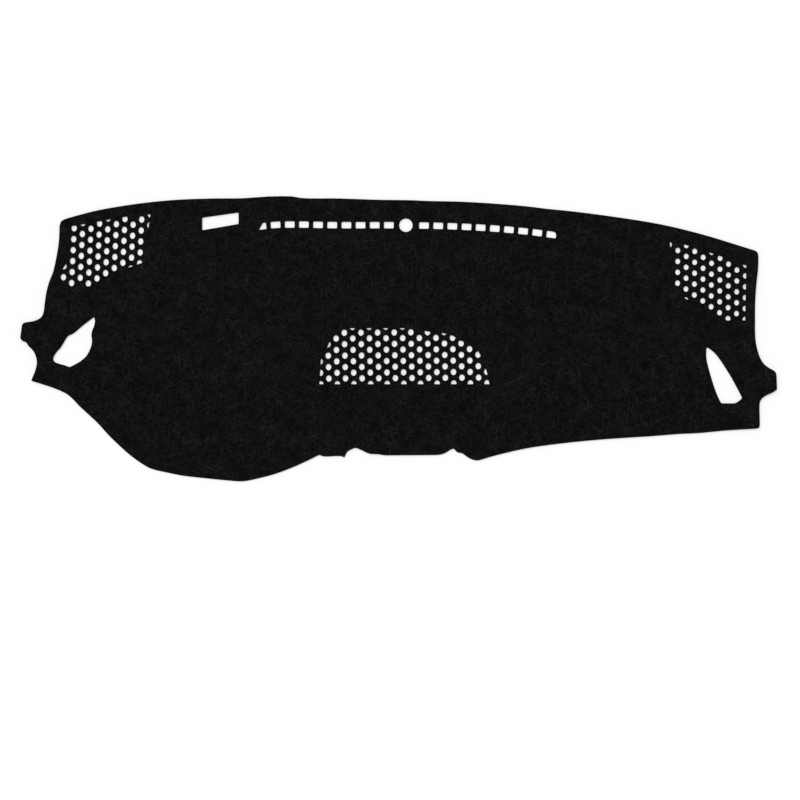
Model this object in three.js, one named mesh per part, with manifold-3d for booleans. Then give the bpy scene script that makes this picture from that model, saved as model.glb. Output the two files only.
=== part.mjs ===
// A dashboard cover mat: one sheet of needle-punched felt, cut to the plan of the dash top and lying flat.
// X runs to the right, Y towards the windscreen and Z up. The origin is under the middle of the whole
// outline, on the surface that the mat lies on. Every length is in millimetres.

import * as THREE from 'three';
import { mergeVertices } from 'three/addons/utils/BufferGeometryUtils.js';
import Module from 'manifold-3d';

// The cut sheet as a whole
const matWidth = 1450; // over the tips of the two side tabs
const matDepth = 547; // from the windscreen edge to the tip of the lobe over the instrument hood
const sheetThickness = 3;

// The air holes, punched in staggered columns inside three fields. The felt is drawn in a little across
// the mat, so that a hole stands taller than it is wide.
const airHoleSides = 10;
const leastHoleShare = 0.16; // a hole that the edge of its field leaves smaller than this isn't cut

// The row of slots over the windscreen outlet
const slotRowX = 14.9; // the middle of the row
const slotRowDepth = 55.8; // the middle of the row, down from the windscreen edge
const slotLength = 18.5;
const slotHeight = 12.3;
const slotCorner = 2.2;
const slotPitch = 27.15;
const slotsEachSide = 10;
const slotStart = 33.7; // from the middle of the row to the middle of the nearest slot on each side
const endSlotFoot = 14.6; // the slot at the left end is short and slants in towards its top
const endSlotTop = 5.8;
const rowEndCorner = 8; // the round upper corner of the slot at the right end

// The light sensor's hole in the middle of the row
const sensorHoleDiameter = 25.6;
const sensorHoleX = 13.9;
const sensorHoleSides = 30;

// The slanting window over the chassis number plate, which narrows a little to the right
const plateWindowWidth = 69.6;
const plateWindowLeftHeight = 24;
const plateWindowRightHeight = 21.8;
const plateWindowRise = 11;
const plateWindowCorner = 2.2;
const plateWindowX = -341.8;
const plateWindowDepth = 47.9; // its middle, down from the windscreen edge

// Lengths of the facets along gentle, middling and close curves
const gentleStep = 18;
const fairStep = 9;
const closeStep = 3.5;
const cornerSteps = 3; // facets round each corner

const placingRounds = 6; // rounds of closing in on a slot's place along its line
const cutOverrun = 1; // how far a cutter reaches past each face of the sheet

// Places are measured from the middle, or from the end of the mat that they belong to
const left = (distance) => -matWidth / 2 + distance;
const right = (distance) => matWidth / 2 - distance;
const back = (distance) => matDepth / 2 - distance;
const front = (distance) => -matDepth / 2 + distance;

// The outline, clockwise from its corner at the windscreen's left end. Each stretch is a smooth curve
// through its points, ends where the next one starts, and has its first corner rounded over a length.
const outlineStretches = [
  // Windscreen edge
  {
    step: gentleStep,
    corner: 13,
    points: [
      [left(74.8), back(46.8)],
      [left(108), back(37.3)],
      [left(146), back(27.6)],
      [left(220), back(15.1)],
      [left(291), back(7.6)],
      [left(360), back(4.6)],
      [-299, back(3.9)],
      [-250, back(0.7)],
      [-207, back(0.4)],
      [-182, back(3.8)],
      [-120, back(4.3)],
      [-83, back(5.4)],
      [-40, back(6.9)],
      [20, back(7.7)],
      [60, back(9.3)],
      [117, back(10.5)],
      [180, back(14)],
      [246, back(19.5)],
      [285, back(24.3)],
      [324, back(28.1)],
      [right(324), back(37.8)],
      [right(223), back(54)],
      [right(144), back(73)],
      [right(52), back(101.2)],
      [right(35.5), back(106.3)],
    ],
  },
  // Right side, down to the tab
  {
    step: fairStep,
    corner: 9,
    points: [
      [right(35.5), back(106.3)],
      [right(36), back(138)],
      [right(39), back(167)],
      [right(41.4), back(201)],
      [right(41.8), 40],
      [right(41.3), 3],
      [right(38.8), -15],
      [right(32.3), -36],
      [right(25), -48],
      [right(15), -56],
      [right(1.2), -63],
    ],
  },
  // End of the right tab
  {
    step: gentleStep,
    corner: 8,
    points: [
      [right(1.2), -63],
      [right(-0.1), -97.5],
    ],
  },
  // Neck under the right tab
  {
    step: closeStep,
    corner: 2.5,
    points: [
      [right(-0.1), -97.5],
      [right(9), -103.5],
      [right(21), -109],
      [right(28), -114],
      [right(32.4), -121],
      [right(33.3), -130],
      [right(33), -150],
      [right(32.6), -172],
    ],
  },
  // Cabin edge, right half
  {
    step: gentleStep,
    corner: 7,
    points: [
      [right(32.6), -172],
      [right(102), -176.4],
      [right(147), -180.7],
      [right(187), -182.7],
      [right(234), -186.4],
      [right(339), -193.5],
      [309, front(72.3)],
      [245, front(63.2)],
      [182, front(48.6)],
      [150, front(39)],
    ],
  },
  // Right shoulder of the console recess
  {
    step: closeStep,
    corner: 8,
    points: [
      [150, front(39)],
      [139, front(42.7)],
      [131, front(47.2)],
      [122, front(53.6)],
      [112, front(56.1)],
      [105.5, front(62.4)],
      [98, front(59.8)],
      [88, front(53.6)],
      [76, front(50.5)],
    ],
  },
  // Console recess
  {
    step: gentleStep,
    corner: 6,
    points: [
      [76, front(50.5)],
      [-27, front(49.8)],
    ],
  },
  // Left shoulder of the console recess
  {
    step: closeStep,
    corner: 6,
    points: [
      [-27, front(49.8)],
      [-40, front(52)],
      [-56, front(53)],
      [-73, front(60.6)],
      [-83, front(64)],
      [-92, front(60.6)],
      [-98, front(57)],
      [-104, front(45.8)],
    ],
  },
  // Lip beside the instrument hood
  {
    step: closeStep,
    corner: 1.5,
    points: [
      [-104, front(45.8)],
      [-111, front(48.3)],
      [-145, front(48)],
      [-152, front(51)],
    ],
  },
  // Instrument hood, right flank
  {
    step: fairStep,
    corner: 3,
    points: [
      [-152, front(51)],
      [-176, front(39.1)],
      [-204, front(26.5)],
      [-240, front(13.3)],
      [-298, front(-1.05)],
    ],
  },
  // Instrument hood, left flank
  {
    step: gentleStep,
    corner: 16,
    points: [
      [-298, front(-1.05)],
      [-360, front(4.9)],
      [-415, front(11.1)],
      [-447, front(17.6)],
      [-476, front(24.9)],
      [-509, front(45.6)],
      [-535, front(67.9)],
      [-558, front(90.5)],
      [-577, front(111.5)],
      [left(111), -127.5],
      [left(95), -110.6],
      [left(82), -102.4],
      [left(57), -92.2],
      [left(20.5), -80.6],
    ],
  },
  // Hollow under the left tab
  {
    step: closeStep,
    corner: 2.5,
    points: [
      [left(20.5), -80.6],
      [left(28.5), -60],
      [left(31.4), -46],
      [left(29.5), -34],
      [left(24), -22.5],
      [left(15.5), -14],
      [left(10.3), -6.2],
      [left(6), -5.6],
      [left(-0.3), 0.6],
    ],
  },
  // End of the left tab
  {
    step: gentleStep,
    corner: 2.5,
    points: [
      [left(-0.3), 0.6],
      [left(3.6), 31],
    ],
  },
  // Left side, up from the tab
  {
    step: fairStep,
    corner: 8,
    points: [
      [left(3.6), 31],
      [left(22), 33.2],
      [left(35), 37.8],
      [left(41), 43],
      [left(44), 50],
      [left(47), 72],
      [left(50.6), back(180)],
      [left(57), back(159)],
      [left(62), back(147)],
      [left(70.6), back(107)],
      [left(74), back(80)],
      [left(74.8), back(46.8)],
    ],
  },
];

// The leaf-shaped opening on the left, clockwise from its upper tip
const leftLeafStretches = [
  // Inner edge
  {
    step: fairStep,
    corner: 5,
    points: [
      [left(142), 42.5],
      [left(142.2), 29],
      [left(136), 11],
      [left(136.6), -9],
      [left(126), -33],
      [left(110), -46],
      [left(93.6), -54.5],
    ],
  },
  // Outer edge
  {
    step: fairStep,
    corner: 3,
    points: [
      [left(93.6), -54.5],
      [left(81), -49.4],
      [left(71.5), -47.6],
      [left(62.8), -40.5],
      [left(66.5), -29],
      [left(76.5), -17.5],
      [left(84), -5.5],
      [left(90.5), 4.6],
      [left(101), 10],
      [left(121), 26.5],
      [left(142), 42.5],
    ],
  },
];

// The leaf-shaped opening on the right, clockwise from its upper tip
const rightLeafStretches = [
  // Outer edge
  {
    step: fairStep,
    corner: 5.5,
    points: [
      [right(134.6), -15],
      [right(118), -28.5],
      [right(92.6), -65],
      [right(79), -89],
      [right(66), -114],
    ],
  },
  // Cut-off lower corner
  {
    step: gentleStep,
    corner: 3.5,
    points: [
      [right(66), -114],
      [right(79), -123.8],
    ],
  },
  // Foot
  {
    step: gentleStep,
    corner: 4,
    points: [
      [right(79), -123.8],
      [right(106.5), -123.8],
    ],
  },
  // Inner edge
  {
    step: fairStep,
    corner: 3,
    points: [
      [right(106.5), -123.8],
      [right(115), -106],
      [right(128.5), -64.5],
      [right(135), -36],
      [right(134.6), -15],
    ],
  },
];

// The line that the slots follow: it runs level and then falls away with the windscreen edge
const slotLine = [
  [-275, back(slotRowDepth + 3.4)],
  [-235, back(slotRowDepth - 0.8)],
  [-190, back(slotRowDepth - 1.4)],
  [-120, back(slotRowDepth - 0.3)],
  [slotRowX, back(slotRowDepth)],
  [103, back(slotRowDepth + 1.9)],
  [185, back(slotRowDepth + 6.3)],
  [245, back(slotRowDepth + 11.8)],
  [305, back(slotRowDepth + 19.4)],
];

// The three fields of air holes. A field has its own punched pattern, which lies a little askew and ends
// at the field's outline. rowSlope is the rise of a row for each mm to the right, and columnLean is the
// shift to the right of a column for each mm up.
const airFields = [
  // Left field
  {
    holeWidth: 10.2,
    holeHeight: 12.2,
    start: [left(165), back(105.6)],
    columnPitch: 16.05,
    rowPitch: 21,
    rowSlope: -0.034,
    columnLean: 0.048,
    outline: [
      [left(96), back(58)],
      [left(133), back(52)],
      [left(177), back(43.5)],
      [left(212), back(38)],
      [left(249), back(35)],
      [left(243), back(77)],
      [left(235), back(127)],
      [left(206), back(137.5)],
      [left(183), back(145.3)],
      [left(168), back(156)],
      [left(152), back(166.4)],
      [left(135), back(172.8)],
      [left(75.5), back(172.4)],
      [left(76.5), back(145.5)],
      [left(90), back(126)],
    ],
  },
  // Right field
  {
    holeWidth: 9.4,
    holeHeight: 10.4,
    start: [right(141.5), back(159)],
    columnPitch: 16.21,
    rowPitch: 20.87,
    rowSlope: -0.0545,
    columnLean: 0.0095,
    outline: [
      [right(205), back(88.8)],
      [right(174), back(93.6)],
      [right(141.5), back(104)],
      [right(109), back(114.7)],
      [right(76), back(128)],
      [right(58.5), back(133)],
      [right(60.5), back(238.2)],
      [right(95.5), back(238.2)],
      [right(109), back(233.5)],
      [right(124), back(222)],
      [right(139.6), back(210.5)],
      [right(155), back(203)],
      [right(174), back(197)],
      [right(196.5), back(176)],
      [right(201), back(134)],
    ],
  },
  // Centre field
  {
    holeWidth: 10.5,
    holeHeight: 11.8,
    start: [24.5, -31.4],
    columnPitch: 15.95,
    rowPitch: 21.88,
    rowSlope: 0.0066,
    columnLean: -0.027,
    outline: [
      [-116.4, 20.3],
      [25.5, 20.3],
      [54.3, 14.2],
      [87, 10.4],
      [104, 5.6],
      [119.5, -4],
      [135, -9],
      [152, -23],
      [161.6, -40.5],
      [169, -63.5],
      [174, -87],
      [-152, -87],
      [-149, -40.5],
      [-139.5, -21.3],
      [-126, 7.5],
    ],
  },
];

const wasm = await Module();
wasm.setup();

const toVector = ([x, y]) => new THREE.Vector2(x, y);

// Points at an even spacing along the smooth curve through the given points
function sampleStretch(stretch) {
  const through = stretch.points.map(([x, y]) => new THREE.Vector3(x, y, 0));
  const curve = new THREE.CatmullRomCurve3(through, false, 'centripetal');
  const pieces = Math.max(1, Math.round(curve.getLength() / stretch.step));
  return curve.getSpacedPoints(pieces).map((point) => new THREE.Vector2(point.x, point.y));
}

// The part of a line of points that starts at a distance along it
function trimStart(points, distance) {
  let remaining = distance;
  for (let i = 1; i < points.length; i += 1) {
    const length = points[i - 1].distanceTo(points[i]);
    if (length > remaining) {
      return [points[i - 1].clone().lerp(points[i], remaining / length), ...points.slice(i)];
    }
    remaining -= length;
  }
  throw new Error('A corner is longer than the stretch beside it');
}

const trimEnd = (points, distance) => trimStart([...points].reverse(), distance).reverse();

// A closed outline from stretches that meet at corners, each corner rounded by a quadratic curve
function closedOutline(stretches) {
  const outline = [];
  stretches.forEach((stretch, i) => {
    const next = stretches[(i + 1) % stretches.length];
    const middle = trimEnd(trimStart(sampleStretch(stretch), stretch.corner), next.corner);
    const following = trimStart(sampleStretch(next), next.corner);
    const corner = toVector(next.points[0]);
    const bend = new THREE.QuadraticBezierCurve(middle.at(-1), corner, following[0]);
    outline.push(...middle, ...bend.getPoints(cornerSteps).slice(1, -1));
  });
  return outline;
}

// A closed outline with straight sides. Each corner is its x, its y and the length rounded on each side
function roundedPolygon(corners) {
  const places = corners.map(([x, y]) => [x, y]);
  const stretches = corners.map((corner, i) => ({
    step: Infinity,
    corner: corner[2],
    points: [places[i], places[(i + 1) % places.length]],
  }));
  return closedOutline(stretches);
}

// An oval about the origin
function oval(width, height, sides) {
  return Array.from({ length: sides }, (_, i) => {
    const angle = ((i + 0.5) / sides) * 2 * Math.PI;
    return new THREE.Vector2((width / 2) * Math.cos(angle), (height / 2) * Math.sin(angle));
  });
}

const placed = (points, x, y, angle = 0) =>
  points.map((point) => point.clone().rotateAround(new THREE.Vector2(), angle).add(new THREE.Vector2(x, y)));

// A straight prism over a closed outline, as a solid that can be joined and cut
function prism(points, bottom, top) {
  const geometry = new THREE.ExtrudeGeometry(new THREE.Shape(points), {
    depth: top - bottom,
    bevelEnabled: false,
  });
  geometry.translate(0, 0, bottom);
  geometry.deleteAttribute('normal');
  geometry.deleteAttribute('uv');
  const merged = mergeVertices(geometry);
  return new wasm.Manifold(
    new wasm.Mesh({
      numProp: 3,
      vertProperties: new Float32Array(merged.attributes.position.array),
      triVerts: new Uint32Array(merged.index.array),
    }),
  );
}

const cutter = (points) => prism(points, -cutOverrun, sheetThickness + cutOverrun);

// One field's holes: staggered columns over the whole field, each hole cut off at the field's outline
function airHoleCutters(field) {
  const outline = field.outline.map(toVector);
  const box = new THREE.Box2().setFromPoints(outline);
  const reach = box.getSize(new THREE.Vector2()).length();
  const columns = Math.ceil(reach / field.columnPitch);
  const rows = Math.ceil(reach / field.rowPitch);
  const fieldSolid = cutter(outline);
  const hole = oval(field.holeWidth, field.holeHeight, airHoleSides);
  const wholeVolume = cutter(hole).volume();
  const holes = [];
  for (let column = -columns; column <= columns; column += 1) {
    const stagger = column % 2 === 0 ? 0 : 0.5;
    for (let row = -rows; row <= rows; row += 1) {
      const across = column * field.columnPitch;
      const up = (row + stagger) * field.rowPitch;
      const x = field.start[0] + across + up * field.columnLean;
      const y = field.start[1] + up + across * field.rowSlope;
      const near = box.distanceToPoint(new THREE.Vector2(x, y)) < field.holeHeight / 2;
      const solid = near ? cutter(placed(hole, x, y)).intersect(fieldSolid) : null;
      if (solid && solid.volume() > leastHoleShare * wholeVolume) {
        holes.push(solid);
      }
    }
  }
  return holes;
}

// A slot about the origin, clockwise from its upper left corner
function slotOutline(atLeftEnd, atRightEnd) {
  const endX = slotLength / 2;
  const endY = slotHeight / 2;
  return roundedPolygon([
    [atLeftEnd ? endX - endSlotTop : -endX, endY, slotCorner],
    [endX, endY, atRightEnd ? rowEndCorner : slotCorner],
    [endX, -endY, slotCorner],
    [atLeftEnd ? endX - endSlotFoot : -endX, -endY, slotCorner],
  ]);
}

// The slots lie along their line, on both sides of its middle
function slotCutters() {
  const through = slotLine.map(([x, y]) => new THREE.Vector3(x, y, 0));
  const curve = new THREE.CatmullRomCurve3(through, false, 'centripetal');
  const span = slotLine.at(-1)[0] - slotLine[0][0];
  const alongAt = (x) => {
    let along = (x - slotLine[0][0]) / span;
    for (let round = 0; round < placingRounds; round += 1) {
      along += (x - curve.getPointAt(along).x) / span;
    }
    return along;
  };
  const cutters = [];
  for (const side of [-1, 1]) {
    for (let i = 0; i < slotsEachSide; i += 1) {
      const atEnd = i === slotsEachSide - 1;
      const along = alongAt(slotRowX + side * (slotStart + i * slotPitch));
      const { x, y } = curve.getPointAt(along);
      const direction = curve.getTangentAt(along);
      const slot = slotOutline(atEnd && side < 0, atEnd && side > 0);
      cutters.push(cutter(placed(slot, x, y, Math.atan2(direction.y, direction.x))));
    }
  }
  return cutters;
}

function plateWindowCutter() {
  const endX = plateWindowWidth / 2;
  const leftY = -plateWindowRise / 2;
  const rightY = plateWindowRise / 2;
  const points = roundedPolygon([
    [-endX, leftY + plateWindowLeftHeight / 2, plateWindowCorner],
    [endX, rightY + plateWindowRightHeight / 2, plateWindowCorner],
    [endX, rightY - plateWindowRightHeight / 2, plateWindowCorner],
    [-endX, leftY - plateWindowLeftHeight / 2, plateWindowCorner],
  ]);
  return cutter(placed(points, plateWindowX, back(plateWindowDepth)));
}

function sensorHoleCutter() {
  const points = oval(sensorHoleDiameter, sensorHoleDiameter, sensorHoleSides);
  return cutter(placed(points, sensorHoleX, back(slotRowDepth)));
}

function dashMatSolid() {
  const blank = prism(closedOutline(outlineStretches), 0, sheetThickness);
  const cutters = [
    cutter(closedOutline(leftLeafStretches)),
    cutter(closedOutline(rightLeafStretches)),
    plateWindowCutter(),
    sensorHoleCutter(),
    ...slotCutters(),
    ...airFields.flatMap(airHoleCutters),
  ];
  return cutters.reduce((sheet, tool) => sheet.subtract(tool), blank);
}

function geometryOf(solid) {
  const mesh = solid.getMesh();
  const geometry = new THREE.BufferGeometry();
  geometry.setAttribute('position', new THREE.BufferAttribute(mesh.vertProperties, 3));
  geometry.setIndex(new THREE.BufferAttribute(mesh.triVerts, 1));
  geometry.computeVertexNormals();
  return geometry;
}

const felt = new THREE.MeshStandardMaterial({ color: '#0c0c0e', roughness: 0.95, metalness: 0 });

const sheet = new THREE.Mesh(geometryOf(dashMatSolid()), felt);
sheet.name = 'dash_mat';

const dashMat = new THREE.Group();
dashMat.add(sheet);

export default dashMat;
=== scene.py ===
"""A dashboard cover mat: one sheet of black needle-punched felt, lying on a plain floor.

The frame holds the sheet as it is cut, flat and with facets. Here the same cuts are made smooth and get the
soft edge that a punch leaves, and the sheet lies as felt does, in low broad waves, with the tips of its tabs
a little off the floor.

Places in plan are complex numbers, x + iy, so that a turn is a product. All lengths are in metres.
"""

import math

import bmesh
import bpy
import numpy as np
from bpy.props import FloatProperty, FloatVectorProperty, PointerProperty
from mathutils.geometry import delaunay_2d_cdt
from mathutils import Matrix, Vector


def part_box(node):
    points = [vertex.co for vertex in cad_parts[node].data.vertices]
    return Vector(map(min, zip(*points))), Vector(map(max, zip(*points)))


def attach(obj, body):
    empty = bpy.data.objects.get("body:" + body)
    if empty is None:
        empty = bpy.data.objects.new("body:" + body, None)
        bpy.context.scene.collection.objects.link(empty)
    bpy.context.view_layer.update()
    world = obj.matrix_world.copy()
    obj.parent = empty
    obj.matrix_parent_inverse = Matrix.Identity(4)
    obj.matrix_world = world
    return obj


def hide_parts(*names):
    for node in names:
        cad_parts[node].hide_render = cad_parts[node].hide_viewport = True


bl_info = {
    "name": "Dashboard cover mat",
    "version": (1, 0, 0),
    "blender": (4, 5, 0),
    "location": "3D View > Sidebar > Dash mat",
    "description": "Lays a felt dashboard cover mat on a plain floor, over its flat cut sheet",
    "category": "Object",
}

MM = 0.001
CUT_SHEET = "dash_mat"
BODY = "root"

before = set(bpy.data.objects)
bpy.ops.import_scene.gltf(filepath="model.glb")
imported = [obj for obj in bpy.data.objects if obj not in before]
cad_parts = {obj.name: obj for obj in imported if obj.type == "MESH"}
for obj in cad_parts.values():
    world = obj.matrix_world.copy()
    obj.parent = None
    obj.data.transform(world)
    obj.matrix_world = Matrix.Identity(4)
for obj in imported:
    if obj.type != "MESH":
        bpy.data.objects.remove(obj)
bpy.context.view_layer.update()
sheet_low, sheet_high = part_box(CUT_SHEET)
sheet_size = sheet_high - sheet_low

# Reading the cut sheet: points nearer than the first are one, and a turn beyond the second stays sharp
MERGE_DISTANCE = 0.001 * MM
SHARP_CORNER = math.radians(55)

# A bend too small to see, which shares a turn evenly where both edges are straight
LEAST_BEND = 1e-9

# The longest that the way out at a corner gets, as a multiple of the offset
LONGEST_MITRE = 1.6

# The photograph's frame: how wide the mat is in it, and where the middle of the mat's box lies
PICTURE_PIXELS = 800
MAT_PIXELS = 756.2
MAT_MIDDLE_PIXEL = (398.64, 338.76)

# Numbers that start the random heights
WAVE_SEED = 3
LOFT_SEED = 7

# The rings round the edge of a cut, from the top face to the underside: whether the ring is on the upper rim,
# and its angle from straight up
EDGE_RINGS = (
    (True, 0),
    (True, math.pi / 4),
    (True, math.pi / 2),
    (False, math.pi / 2),
    (False, math.pi),
)


def linear(colour):
    """An sRGB hex colour as linear red, green and blue."""
    parts = np.array([int(colour[i : i + 2], 16) for i in (1, 3, 5)]) / 255
    curve = ((parts + 0.055) / 1.055) ** 2.4
    return tuple(np.where(parts <= 0.04045, parts / 12.92, curve).tolist())


class FeltSheetSettings(bpy.types.PropertyGroup):
    """Sizes and colours of the felt sheet"""

    upper_round: FloatProperty(
        name="Upper edge",
        description="Radius that the punch leaves on the upper edge of a cut",
        default=0.7 * MM,
        min=0.1 * MM,
        max=1.2 * MM,
        unit="LENGTH",
    )
    lower_round: FloatProperty(
        name="Lower edge",
        description="Radius of the lower edge of a cut, where the punch leaves the felt",
        default=0.4 * MM,
        min=0.1 * MM,
        max=1.2 * MM,
        unit="LENGTH",
    )
    longest_step: FloatProperty(
        name="Longest step",
        description="The longest straight piece of a cut's smooth curve",
        default=4 * MM,
        unit="LENGTH",
    )
    sharpest_step: FloatProperty(
        name="Sharpest step",
        description="The most that a cut's smooth curve turns from one piece to the next",
        default=math.radians(18),
        subtype="ANGLE",
    )
    grid_spacing: FloatProperty(
        name="Grid spacing",
        description="Spacing of the surface points between the cuts",
        default=8 * MM,
        unit="LENGTH",
    )
    wave_height: FloatProperty(
        name="Wave height",
        description="Height of the broad waves that the felt keeps from its packing",
        default=2.2 * MM,
        unit="LENGTH",
    )
    wave_length: FloatProperty(
        name="Wave length",
        description="Spacing of the random heights that make the broad waves",
        default=190 * MM,
        unit="LENGTH",
    )
    tab_start: FloatProperty(
        name="Start of the tabs",
        description="Distance from the middle of the mat to where its tabs start to curl up",
        default=590 * MM,
        unit="LENGTH",
    )
    tab_lift: FloatProperty(
        name="Tab lift",
        description="How far the tips of the tabs curl up",
        default=3 * MM,
        unit="LENGTH",
    )
    loft: FloatProperty(
        name="Unevenness",
        description="How much the felt is thicker and thinner from place to place",
        default=0.16 * MM,
        unit="LENGTH",
    )
    loft_length: FloatProperty(
        name="Unevenness length",
        description="Spacing of the random heights that make the felt thicker and thinner",
        default=14 * MM,
        unit="LENGTH",
    )
    # Painted shade: the felt's black, painted darker where it lies deep between the fibres.
    shaded_felt_colour: FloatVectorProperty(
        name="Felt",
        description="Colour of the deep part of the felt, between the fibres",
        default=linear("#040405"),
        size=3,
        min=0,
        max=1,
        subtype="COLOR",
    )
    # Painted light: the fibres that lie on top are painted lighter, as lit.
    lit_fibre_colour: FloatVectorProperty(
        name="Fibre",
        description="Colour of the fibres that lie on top and catch the light",
        default=linear("#242427"),
        size=3,
        min=0,
        max=1,
        subtype="COLOR",
    )
    # Painted highlight: the wall of a cut is painted lighter, as light on its fibre ends.
    lit_cut_colour: FloatVectorProperty(
        name="Cut fibre",
        description="Colour of the fibre ends in the wall of a cut",
        default=linear("#26262a"),
        size=3,
        min=0,
        max=1,
        subtype="COLOR",
    )
    sheen_colour: FloatVectorProperty(
        name="Loose ends",
        description="Colour of the weak sheen that loose fibre ends give the felt",
        default=linear("#8a8a90"),
        size=3,
        min=0,
        max=1,
        subtype="COLOR",
    )


class StageSettings(bpy.types.PropertyGroup):
    """Sizes, colour and light of the stage"""

    floor_size: FloatProperty(
        name="Floor size",
        description="Length of the square floor's side",
        default=16,
        unit="LENGTH",
    )
    floor_colour: FloatVectorProperty(
        name="Floor",
        description="Colour of the matt floor",
        default=linear("#c8c8c8"),
        size=3,
        min=0,
        max=1,
        subtype="COLOR",
    )
    focal_length: FloatProperty(
        name="Focal length",
        description="Focal length of the camera's lens in millimetres",
        default=100,
    )
    sky_light: FloatProperty(
        name="Sky light",
        description="Share of the light that comes evenly from all sides",
        default=0.55,
        min=0,
        max=1,
        subtype="FACTOR",
    )
    lamp_height: FloatProperty(
        name="Lamp height",
        description="Angle of the soft lamp above the floor",
        default=math.radians(62),
        subtype="ANGLE",
    )
    lamp_side: FloatProperty(
        name="Lamp side",
        description="Angle that the lamp stands to the left of the windscreen edge's middle",
        default=math.radians(38),
        subtype="ANGLE",
    )
    lamp_softness: FloatProperty(
        name="Lamp softness",
        description="Angle that the lamp fills as seen from the mat",
        default=math.radians(35),
        subtype="ANGLE",
    )


def merged_mesh(node):
    """Vertices and triangles of a copy of a node's mesh, in which vertices that lie together are one."""
    mesh = node.data.copy()
    work = bmesh.new()
    work.from_mesh(mesh)
    bmesh.ops.remove_doubles(work, verts=work.verts, dist=MERGE_DISTANCE)
    work.to_mesh(mesh)
    work.free()
    mesh.calc_loop_triangles()
    places = np.empty((len(mesh.vertices), 3), np.float32)
    triangles = np.empty((len(mesh.loop_triangles), 3), np.int32)
    mesh.vertices.foreach_get("co", places.ravel())
    mesh.loop_triangles.foreach_get("vertices", triangles.ravel())
    bpy.data.meshes.remove(mesh)
    return places.astype(float), triangles.astype(int)


def neighbours(cut):
    """The numbers of the points before and after each point, for points in order, cut by cut, that each know
    the number of their cut. A cut is closed, so its first point comes after its last."""
    numbers = np.arange(len(cut))
    first = np.searchsorted(cut, cut)
    last = np.searchsorted(cut, cut, side="right") - 1
    before = np.where(numbers == first, last, numbers - 1)
    after = np.where(numbers == last, first, numbers + 1)
    return before, after


def cut_corners(node):
    """The corners of the sheet's cuts, in order, with the felt on the left of the way, and each one's cut.

    The top face ends at each triangle's edge that no other top triangle has in the other direction. From its
    start to its end, such an edge leads from one corner to the next. Each corner looks ahead along its cut,
    at first by one corner and then twice as far each time. So it finds the lowest corner number on its cut,
    which stands for the cut, and how many corners on that one lies, which gives the order.
    """
    places, triangles = merged_mesh(node)
    middle = (places[:, 2].min() + places[:, 2].max()) / 2
    top = triangles[(places[triangles, 2] > middle).all(axis=1)]
    starts = top.ravel()
    ends = np.roll(top, -1, axis=1).ravel()
    at_cut = ~np.isin(ends * len(places) + starts, starts * len(places) + ends)
    corners, edge_number = np.unique(starts[at_cut], return_index=True)
    if len(corners) != at_cut.sum():
        raise ValueError("Two cuts of the sheet touch each other in a corner")
    following = np.searchsorted(corners, ends[at_cut][edge_number])
    numbers = np.arange(len(corners))
    rounds = math.ceil(math.log2(len(corners)))
    lowest = numbers
    ahead = following
    for _ in range(rounds):
        lowest = np.minimum(lowest, lowest[ahead])
        ahead = ahead[ahead]
    to_lowest = np.where(numbers == lowest, 0, 1)
    ahead = np.where(numbers == lowest, numbers, following)
    for _ in range(rounds):
        to_lowest = to_lowest + to_lowest[ahead]
        ahead = ahead[ahead]
    order = np.lexsort((-to_lowest, lowest))
    plan = places[corners[order]]
    return plan[:, 0] + 1j * plan[:, 1], lowest[order]


def smooth_cuts(corners, cut, longest_step, sharpest_step):
    """Points along the smooth curves through the cuts' corners, and each one's cut.

    Each edge from corner to corner becomes a cubic Hermite curve. Where two edges meet, the curve's heading
    divides the turn between them in proportion to their bends. An edge's bend is the smaller of the turns at
    its ends over the square of its length, so a straight edge stays straight beside a rounded corner. At a
    sharp corner each edge ends by itself, with the same turn as at its other end, which makes it a round arc,
    or straight if that end is sharp too. The curve's speed at an end is the edge's length times
    2 / (1 + the cosine of the turn there), which is that of a round arc.
    """
    before, after = neighbours(cut)
    edge = corners[after] - corners
    length = np.abs(edge)
    turn = np.angle(edge / edge[before])
    bend = np.minimum(np.abs(turn), np.abs(turn[after])) / length**2 + LEAST_BEND
    start_turn = turn * bend / (bend + bend[before])
    end_turn = turn[after] * bend / (bend + bend[after])
    sharp_start = np.abs(turn) > SHARP_CORNER
    sharp_end = sharp_start[after]
    start_turn, end_turn = (
        np.where(sharp_start, np.where(sharp_end, 0, end_turn), start_turn),
        np.where(sharp_end, np.where(sharp_start, 0, start_turn), end_turn),
    )
    steps = np.maximum(length / longest_step, np.abs(start_turn + end_turn) / sharpest_step)
    steps = np.ceil(steps).astype(int)
    edge_number = np.repeat(np.arange(len(corners)), steps)
    first = np.cumsum(steps) - steps
    t = (np.arange(len(edge_number)) - first[edge_number]) / steps[edge_number]
    leaving = 2 * edge * np.exp(-1j * start_turn) / (1 + np.cos(start_turn))
    arriving = 2 * edge * np.exp(1j * end_turn) / (1 + np.cos(end_turn))
    points = (
        corners[edge_number] * (1 + 2 * t) * (1 - t) ** 2
        + leaving[edge_number] * t * (1 - t) ** 2
        + corners[after][edge_number] * t**2 * (3 - 2 * t)
        - arriving[edge_number] * t**2 * (1 - t)
    )
    return points, cut[edge_number]


def outward_from_felt(points, cut):
    """At each point of the cuts, the way straight out of the felt, as long as a mitre needs it to be.

    The way out is at right angles to the mean of the two headings that meet there, on the right. Its length
    is one over the cosine of half the turn, so that an offset keeps its distance from both pieces.
    """
    before, after = neighbours(cut)
    heading = points[after] - points
    heading = heading / np.abs(heading)
    mean = heading + heading[before]
    mitre = np.minimum(2 / np.abs(mean), LONGEST_MITRE)
    return -1j * mean / np.abs(mean) * mitre


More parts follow.
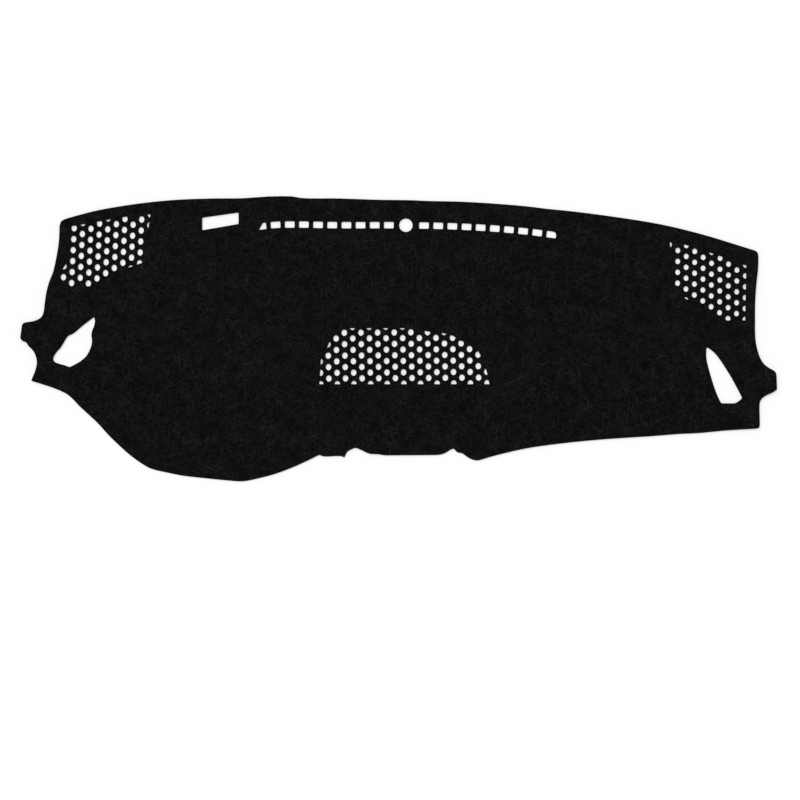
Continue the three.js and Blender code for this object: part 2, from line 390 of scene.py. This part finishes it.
def inner_points(points, spacing):
    """A staggered grid of points over the box of the cuts, without those that come near a cut.

    The box is divided into square cells, half the spacing wide. A grid point is dropped if a point of a cut
    lies in its cell or in one of the eight cells round it.
    """
    cell = spacing / 2
    margin = 2 * cell * (1 + 1j)
    low = complex(points.real.min(), points.imag.min()) - margin
    size = complex(points.real.max(), points.imag.max()) + margin - low
    near_cut = np.zeros((int(size.real / cell) + 2, int(size.imag / cell) + 2), bool)
    column = ((points - low).real / cell).astype(int)
    row = ((points - low).imag / cell).astype(int)
    for i in (-1, 0, 1):
        for j in (-1, 0, 1):
            near_cut[column + i, row + j] = True
    row_spacing = spacing * math.sin(math.pi / 3)
    along = np.arange(0, size.real - spacing, spacing)
    up = np.arange(0, size.imag, row_spacing)
    shift = np.arange(len(up)) % 2 * spacing / 2
    grid = (along + shift[:, None] + 1j * up[:, None]).ravel()
    free = ~near_cut[(grid.real / cell).astype(int), (grid.imag / cell).astype(int)]
    return grid[free] + low


def felt_triangles(rim, cut, inner):
    """Triangles that fill the plan between the cuts, through the cuts' points and the inner points."""
    plan = np.concatenate([rim, inner])
    loops = np.split(np.arange(len(rim)), np.flatnonzero(np.diff(cut)) + 1)
    pairs = np.column_stack([plan.real, plan.imag]).tolist()
    filled = delaunay_2d_cdt(pairs, [], [loop.tolist() for loop in loops], 2, MERGE_DISTANCE)
    places, faces, sources = filled[0], filled[2], filled[3]
    if len(places) != len(plan):
        raise ValueError("Two cuts of the sheet come too near each other")
    return np.concatenate(sources)[np.array(faces)]


def spline_shares(t):
    """The shares of four neighbours in a cubic B-spline, at t from the second to the third."""
    return (
        (1 - t) ** 3 / 6,
        (3 * t**3 - 6 * t**2 + 4) / 6,
        (-3 * t**3 + 3 * t**2 + 3 * t + 1) / 6,
        t**3 / 6,
    )


def soft_heights(points, spacing, seed):
    """A soft random height, mostly between -0.6 and 0.6, at each point in plan.

    Random heights between -1 and 1 stand on a square grid, and a point's height is the sum of the 16 round
    it, each times its share in a cubic B-spline along x and in one along y.
    """
    reach = math.ceil(sheet_size.x / spacing) + 2
    heights = np.random.default_rng(seed).uniform(-1, 1, (2 * reach, 2 * reach))
    column, x = np.divmod(points.real / spacing, 1)
    row, y = np.divmod(points.imag / spacing, 1)
    column = column.astype(int) + reach - 2
    row = row.astype(int) + reach - 2
    total = np.zeros(len(points))
    for i, share_across in enumerate(spline_shares(x)):
        for j, share_along in enumerate(spline_shares(y)):
            total += share_across * share_along * heights[column + i, row + j]
    return total


class LyingSheet:
    """How the sheet lies: the height of its underside and of its top face at each point in plan.

    The underside is the broad waves, plus the curl of the tabs, which grows with the square of the way from
    where a tab starts to the tip. It is set down so that its lowest point touches the floor. The top face
    is the thickness above it, and a little uneven.
    """

    def __init__(self, settings, points):
        self.settings = settings
        self.lowest = self.waves(points).min()

    def waves(self, points):
        """The height of the waves and the curl, before the sheet is set down."""
        settings = self.settings
        past = (np.abs(points.real) - settings.tab_start) / (sheet_size.x / 2 - settings.tab_start)
        curl = settings.tab_lift * np.clip(past, 0, 1) ** 2
        return settings.wave_height * soft_heights(points, settings.wave_length, WAVE_SEED) + curl

    def underside(self, points):
        return self.waves(points) - self.lowest

    def top(self, points):
        uneven = self.settings.loft * soft_heights(points, self.settings.loft_length, LOFT_SEED)
        return self.underside(points) + sheet_size.z + uneven

    def upward(self, height, points):
        """The way straight up from a face: at right angles to its slope, measured over a millimetre."""
        slope_x = (height(points + MM / 2) - height(points - MM / 2)) / MM
        slope_y = (height(points + 0.5j * MM) - height(points - 0.5j * MM)) / MM
        way = np.column_stack([-slope_x, -slope_y, np.ones(len(points))])
        return way / np.linalg.norm(way, axis=1, keepdims=True)


def edge_ring(points, outward, lying, radii, ring):
    """One ring of points round all cuts, with its normals.

    At an angle a from straight up, on a rim of radius r, the ring lies r (1 - sin a) inside the cut. On the
    upper rim it lies r (1 - cos a) under the top face, and on the lower rim r (1 + cos a) over the underside.
    Its normal is the way up times cos a, plus the way out times sin a.
    """
    on_upper_rim, angle = ring
    upper_radius, lower_radius = radii
    if on_upper_rim:
        plan = points - outward * upper_radius * (1 - math.sin(angle))
        height = lying.top(plan) - upper_radius * (1 - math.cos(angle))
        up = lying.upward(lying.top, plan)
    else:
        plan = points - outward * lower_radius * (1 - math.sin(angle))
        height = lying.underside(plan) + lower_radius * (1 + math.cos(angle))
        up = lying.upward(lying.underside, plan)
    out = outward / np.abs(outward)
    out = np.column_stack([out.real, out.imag, np.zeros(len(out))])
    return plan, height, up * math.cos(angle) + out * math.sin(angle)


def felt_sheet(settings):
    """The felt sheet's mesh: the edge's profile carried along every cut, and the top face and the underside
    filled between the cuts with the same triangles."""
    corners, cut = cut_corners(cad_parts[CUT_SHEET])
    points, cut = smooth_cuts(corners, cut, settings.longest_step, settings.sharpest_step)
    outward = outward_from_felt(points, cut)
    inner = inner_points(points, settings.grid_spacing)
    rim = points - outward * settings.upper_round
    triangles = felt_triangles(rim, cut, inner)
    used = np.unique(triangles[triangles >= len(rim)])
    inner = inner[used - len(rim)]
    fill = np.where(triangles < len(rim), triangles, len(rim) + np.searchsorted(used, triangles))
    lying = LyingSheet(settings, np.concatenate([points, inner]))

    radii = (settings.upper_round, settings.lower_round)
    rings = [edge_ring(points, outward, lying, radii, ring) for ring in EDGE_RINGS]
    rings.append((inner, lying.top(inner), lying.upward(lying.top, inner)))
    rings.append((inner, lying.underside(inner), -lying.upward(lying.underside, inner)))
    plan = np.concatenate([ring[0] for ring in rings])
    height = np.concatenate([ring[1] for ring in rings])
    normals = np.concatenate([ring[2] for ring in rings])

    count = len(points)
    last_ring = (len(EDGE_RINGS) - 1) * count
    numbers = np.arange(count)
    after = neighbours(cut)[1]
    strips = [
        np.column_stack([upper + numbers, upper + count + numbers, upper + count + after, upper + after])
        for upper in range(0, last_ring, count)
    ]
    top = np.where(fill < count, fill, fill + last_ring)
    underside = np.where(fill < count, fill + last_ring, fill + last_ring + len(inner))[:, ::-1]
    faces = np.concatenate(strips).tolist() + top.tolist() + underside.tolist()

    mesh = bpy.data.meshes.new("felt_mat")
    mesh.from_pydata(np.column_stack([plan.real, plan.imag, height]), [], faces, shade_flat=False)
    in_wall = np.zeros(len(plan), np.float32)
    in_wall[count : last_ring] = 1
    mesh.attributes.new("cut_wall", "FLOAT", "POINT").data.foreach_set("value", in_wall)
    mesh.normals_split_custom_set_from_vertices(normals.tolist())
    return mesh


def cut_area():
    """The sheet's area in plan, by the sum over all cuts of half the cross product of each corner with the
    next. With the felt on the left, the outline counts as more and the holes as less."""
    corners, cut = cut_corners(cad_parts[CUT_SHEET])
    after = neighbours(cut)[1]
    return float(np.sum((np.conj(corners) * corners[after]).imag) / 2)


def add_node(tree, kind, inputs=None, **settings):
    """Adds a node of a kind with its settings. Each of its inputs is given a value, or the output that is
    linked to it."""
    node = tree.nodes.new(kind)
    for name, value in settings.items():
        setattr(node, name, value)
    for name, value in (inputs or {}).items():
        if isinstance(value, bpy.types.NodeSocket):
            tree.links.new(value, node.inputs[name])
        else:
            node.inputs[name].default_value = value
    return node


def empty_tree(owner):
    """The node tree of a material or world, with nothing in it."""
    owner.use_nodes = True
    owner.node_tree.nodes.clear()
    return owner.node_tree


def needle_punched_felt(settings):
    """Needle-punched polyester felt, dyed black in the fibre.

    A web of crossing fibres, pressed flat and punched through with barbed needles: quite matt and nearly
    black, because light is lost between the fibres. The tufts' pattern is the web's own, but its tones are
    painted light and shade: the deep part between the fibres is painted darker, as painted shade, and the
    fibres that lie on top are painted a little lighter, as lit. It reflects far less than its plastic would
    when smooth, so the specular level is low, and loose fibre ends give it a weak sheen. The wall of a cut
    shows fibre ends and is painted lighter, a painted highlight on them.
    """
    material = bpy.data.materials.new("Needle-punched polyester felt")
    tree = empty_tree(material)
    place = add_node(tree, "ShaderNodeTexCoord").outputs["Object"]

    # Real fibres are 0.03 mm thick. They are drawn as tufts 2.4 mm wide and 17 mm long, so that they show,
    # and lie three ways.
    tuft_length = 17 * MM
    tuft_width = 2.4 * MM
    tuft_lays = (math.radians(21), math.radians(-33), math.radians(80))
    web = None
    for lay in tuft_lays:
        inputs = {"Vector": place, "Rotation": (0, 0, lay), "Scale": (tuft_length, tuft_width, tuft_width)}
        laid = add_node(tree, "ShaderNodeMapping", inputs, vector_type="TEXTURE").outputs["Vector"]
        inputs = {"Vector": laid, "Scale": 1, "Detail": 2, "Roughness": 0.6, "Distortion": 0.8}
        tufts = add_node(tree, "ShaderNodeTexNoise", inputs).outputs[0]
        if web is None:
            web = tufts
        else:
            web = add_node(tree, "ShaderNodeMath", {0: web, 1: tufts}, operation="MAXIMUM").outputs[0]

    # Only the crests of the noise show as tufts.
    inputs = {"Value": web, "From Min": 0.5, "From Max": 0.78}
    web = add_node(tree, "ShaderNodeMapRange", inputs).outputs[0]

    # The web is thicker and thinner in clouds of about 30 mm.
    cloud_size = 30 * MM
    inputs = {"Vector": place, "Scale": 1 / cloud_size, "Detail": 3}
    cloud = add_node(tree, "ShaderNodeTexNoise", inputs).outputs[0]

    # Needle marks are 0.5 mm wide and about 1.5 mm apart. They are drawn 2.6 mm apart, so that they show.
    mark_spacing = 2.6 * MM
    inputs = {"Vector": place, "Scale": 1 / mark_spacing}
    marks = add_node(tree, "ShaderNodeTexVoronoi", inputs).outputs["Distance"]

    # The share of the lit fibres' colour that shows, with the thick and thin of the web brought out: painted
    # light where it is high, painted shade where it is low
    cloud_gain = 1.7
    inputs = {0: web, 1: cloud}
    shown = add_node(tree, "ShaderNodeMath", inputs, operation="MULTIPLY").outputs[0]
    inputs = {0: shown, 1: cloud_gain}
    shown = add_node(tree, "ShaderNodeMath", inputs, operation="MULTIPLY", use_clamp=True).outputs[0]
    # The face's colour mixes the painted shade of the deep felt with the painted light on the top fibres.
    inputs = {0: shown, 6: (*settings.shaded_felt_colour, 1), 7: (*settings.lit_fibre_colour, 1)}
    face = add_node(tree, "ShaderNodeMix", inputs, data_type="RGBA").outputs[2]
    # The wall of a cut gets a painted highlight: its fibre ends are painted lighter.
    in_wall = add_node(tree, "ShaderNodeAttribute", attribute_name="cut_wall").outputs["Fac"]
    inputs = {0: in_wall, 6: face, 7: (*settings.lit_cut_colour, 1)}
    colour = add_node(tree, "ShaderNodeMix", inputs, data_type="RGBA").outputs[2]

    # Fibres stand up to 0.9 mm over the web, and needle marks are half as deep.
    fibre_relief = 0.9 * MM
    mark_share = 0.5
    inputs = {0: marks, 1: mark_share, 2: web}
    relief = add_node(tree, "ShaderNodeMath", inputs, operation="MULTIPLY_ADD").outputs[0]
    inputs = {"Height": relief, "Strength": 0.7, "Distance": fibre_relief}
    bump = add_node(tree, "ShaderNodeBump", inputs).outputs["Normal"]

    inputs = {
        "Base Color": colour,
        "Roughness": 0.95,
        "Specular IOR Level": 0.03,
        "Sheen Weight": 0.05,
        "Sheen Roughness": 0.6,
        "Sheen Tint": (*settings.sheen_colour, 1),
        "Normal": bump,
    }
    felt = add_node(tree, "ShaderNodeBsdfPrincipled", inputs)
    add_node(tree, "ShaderNodeOutputMaterial", {"Surface": felt.outputs["BSDF"]})
    return material


def seen_directly(tree):
    """An output that is 1 for what the camera sees, straight or through a mirror or glass, and 0 for light
    that falls on something."""
    path = add_node(tree, "ShaderNodeLightPath").outputs
    seen = path["Is Camera Ray"]
    for way in ("Is Glossy Ray", "Is Transmission Ray"):
        seen = add_node(tree, "ShaderNodeMath", {0: seen, 1: path[way]}, operation="MAXIMUM").outputs[0]
    return seen


def matt_floor(settings):
    """Matt pale studio card.

    It shows as white where nothing shades it: what its colour leaves short of white, it gives off itself
    towards the camera. So a shadow on it is soft and pale, and the holes show bright.
    """
    material = bpy.data.materials.new("Matt pale card")
    tree = empty_tree(material)
    colour = (*settings.floor_colour, 1)
    card = add_node(tree, "ShaderNodeBsdfDiffuse", {"Color": colour}).outputs[0]
    missing = 1 - sum(settings.floor_colour) / 3
    inputs = {0: seen_directly(tree), 1: missing}
    strength = add_node(tree, "ShaderNodeMath", inputs, operation="MULTIPLY").outputs[0]
    glow = add_node(tree, "ShaderNodeEmission", {"Strength": strength}).outputs[0]
    both = add_node(tree, "ShaderNodeAddShader", {0: card, 1: glow}).outputs[0]
    add_node(tree, "ShaderNodeOutputMaterial", {"Surface": both})
    return material


def place_floor(settings):
    """A square floor under the mat, with its middle at the origin."""
    half = settings.floor_size / 2
    mesh = bpy.data.meshes.new("floor")
    corners = [(-half, -half, 0), (half, -half, 0), (half, half, 0), (-half, half, 0)]
    mesh.from_pydata(corners, [], [(0, 1, 2, 3)])
    mesh.materials.append(matt_floor(settings))
    floor = bpy.data.objects.new("floor", mesh)
    bpy.context.scene.collection.objects.link(floor)


def light_stage(settings):
    """Even light from all sides and one large soft lamp.

    Together they light the floor so that a colour shows as it is written: the world's strength, plus the
    lamp's times the sine of its height over pi, is 1.
    """
    world = bpy.data.worlds.new("Studio")
    tree = empty_tree(world)
    inputs = {0: seen_directly(tree), 2: settings.sky_light, 3: 1.0}
    strength = add_node(tree, "ShaderNodeMix", inputs, data_type="FLOAT").outputs[0]
    sky = add_node(tree, "ShaderNodeBackground", {"Color": (1, 1, 1, 1), "Strength": strength}).outputs[0]
    add_node(tree, "ShaderNodeOutputWorld", {"Surface": sky})
    bpy.context.scene.world = world

    lamp = bpy.data.lights.new("soft_lamp", "SUN")
    lamp.energy = (1 - settings.sky_light) * math.pi / math.sin(settings.lamp_height)
    lamp.angle = settings.lamp_softness
    holder = bpy.data.objects.new("soft_lamp", lamp)
    holder.rotation_euler = (settings.lamp_height - math.pi / 2, 0, settings.lamp_side)
    bpy.context.scene.collection.objects.link(holder)


def place_camera(settings):
    """The camera looks straight down, with the windscreen edge at the top of the picture, from where the
    mat is as wide and lies at the same place as in the photograph."""
    middle = (sheet_low + sheet_high) / 2
    per_pixel = sheet_size.x / MAT_PIXELS
    off_middle = [(PICTURE_PIXELS / 2 - pixel) * per_pixel for pixel in MAT_MIDDLE_PIXEL]
    camera = bpy.data.cameras.new("camera")
    camera.lens = settings.focal_length
    distance = PICTURE_PIXELS * per_pixel * camera.lens / camera.sensor_width
    holder = bpy.data.objects.new("camera", camera)
    holder.location = (middle.x + off_middle[0], middle.y - off_middle[1], sheet_high.z + distance)
    bpy.context.scene.collection.objects.link(holder)
    bpy.context.scene.camera = holder


class DASHMAT_OT_felt_sheet(bpy.types.Operator):
    """Lays the felt sheet over the flat cut sheet, which it stands for"""

    bl_idname = "dash_mat.felt_sheet"
    bl_label = "Felt sheet"

    def execute(self, context):
        settings = context.scene.felt_sheet
        mesh = felt_sheet(settings)
        mesh.materials.append(needle_punched_felt(settings))
        mat = bpy.data.objects.new("felt_mat", mesh)
        context.scene.collection.objects.link(mat)
        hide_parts(CUT_SHEET)
        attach(mat, BODY)
        cut_area()
        return {"FINISHED"}


class DASHMAT_OT_stage(bpy.types.Operator):
    """Makes the floor, the light and the camera"""

    bl_idname = "dash_mat.stage"
    bl_label = "Stage"

    def execute(self, context):
        settings = context.scene.dash_mat_stage
        place_floor(settings)
        light_stage(settings)
        place_camera(settings)
        context.scene.view_settings.view_transform = "Standard"
        return {"FINISHED"}


class DASHMAT_PT_panel(bpy.types.Panel):
    """Lists what makes the mat and its stage, with their settings"""

    bl_label = "Dashboard cover mat"
    bl_space_type = "VIEW_3D"
    bl_region_type = "UI"
    bl_category = "Dash mat"

    def draw(self, context):
        parts = (
            (DASHMAT_OT_felt_sheet, context.scene.felt_sheet),
            (DASHMAT_OT_stage, context.scene.dash_mat_stage),
        )
        for operator, settings in parts:
            box = self.layout.box()
            box.operator(operator.bl_idname)
            for name in settings.__annotations__:
                box.prop(settings, name)


CLASSES = (
    FeltSheetSettings,
    StageSettings,
    DASHMAT_OT_felt_sheet,
    DASHMAT_OT_stage,
    DASHMAT_PT_panel,
)


def register():
    for made in CLASSES:
        bpy.utils.register_class(made)
    bpy.types.Scene.felt_sheet = PointerProperty(type=FeltSheetSettings)
    bpy.types.Scene.dash_mat_stage = PointerProperty(type=StageSettings)


def unregister():
    del bpy.types.Scene.dash_mat_stage
    del bpy.types.Scene.felt_sheet
    for made in reversed(CLASSES):
        bpy.utils.unregister_class(made)


def main():
    register()
    bpy.ops.dash_mat.felt_sheet()
    bpy.ops.dash_mat.stage()


if __name__ == "__main__":
    main()
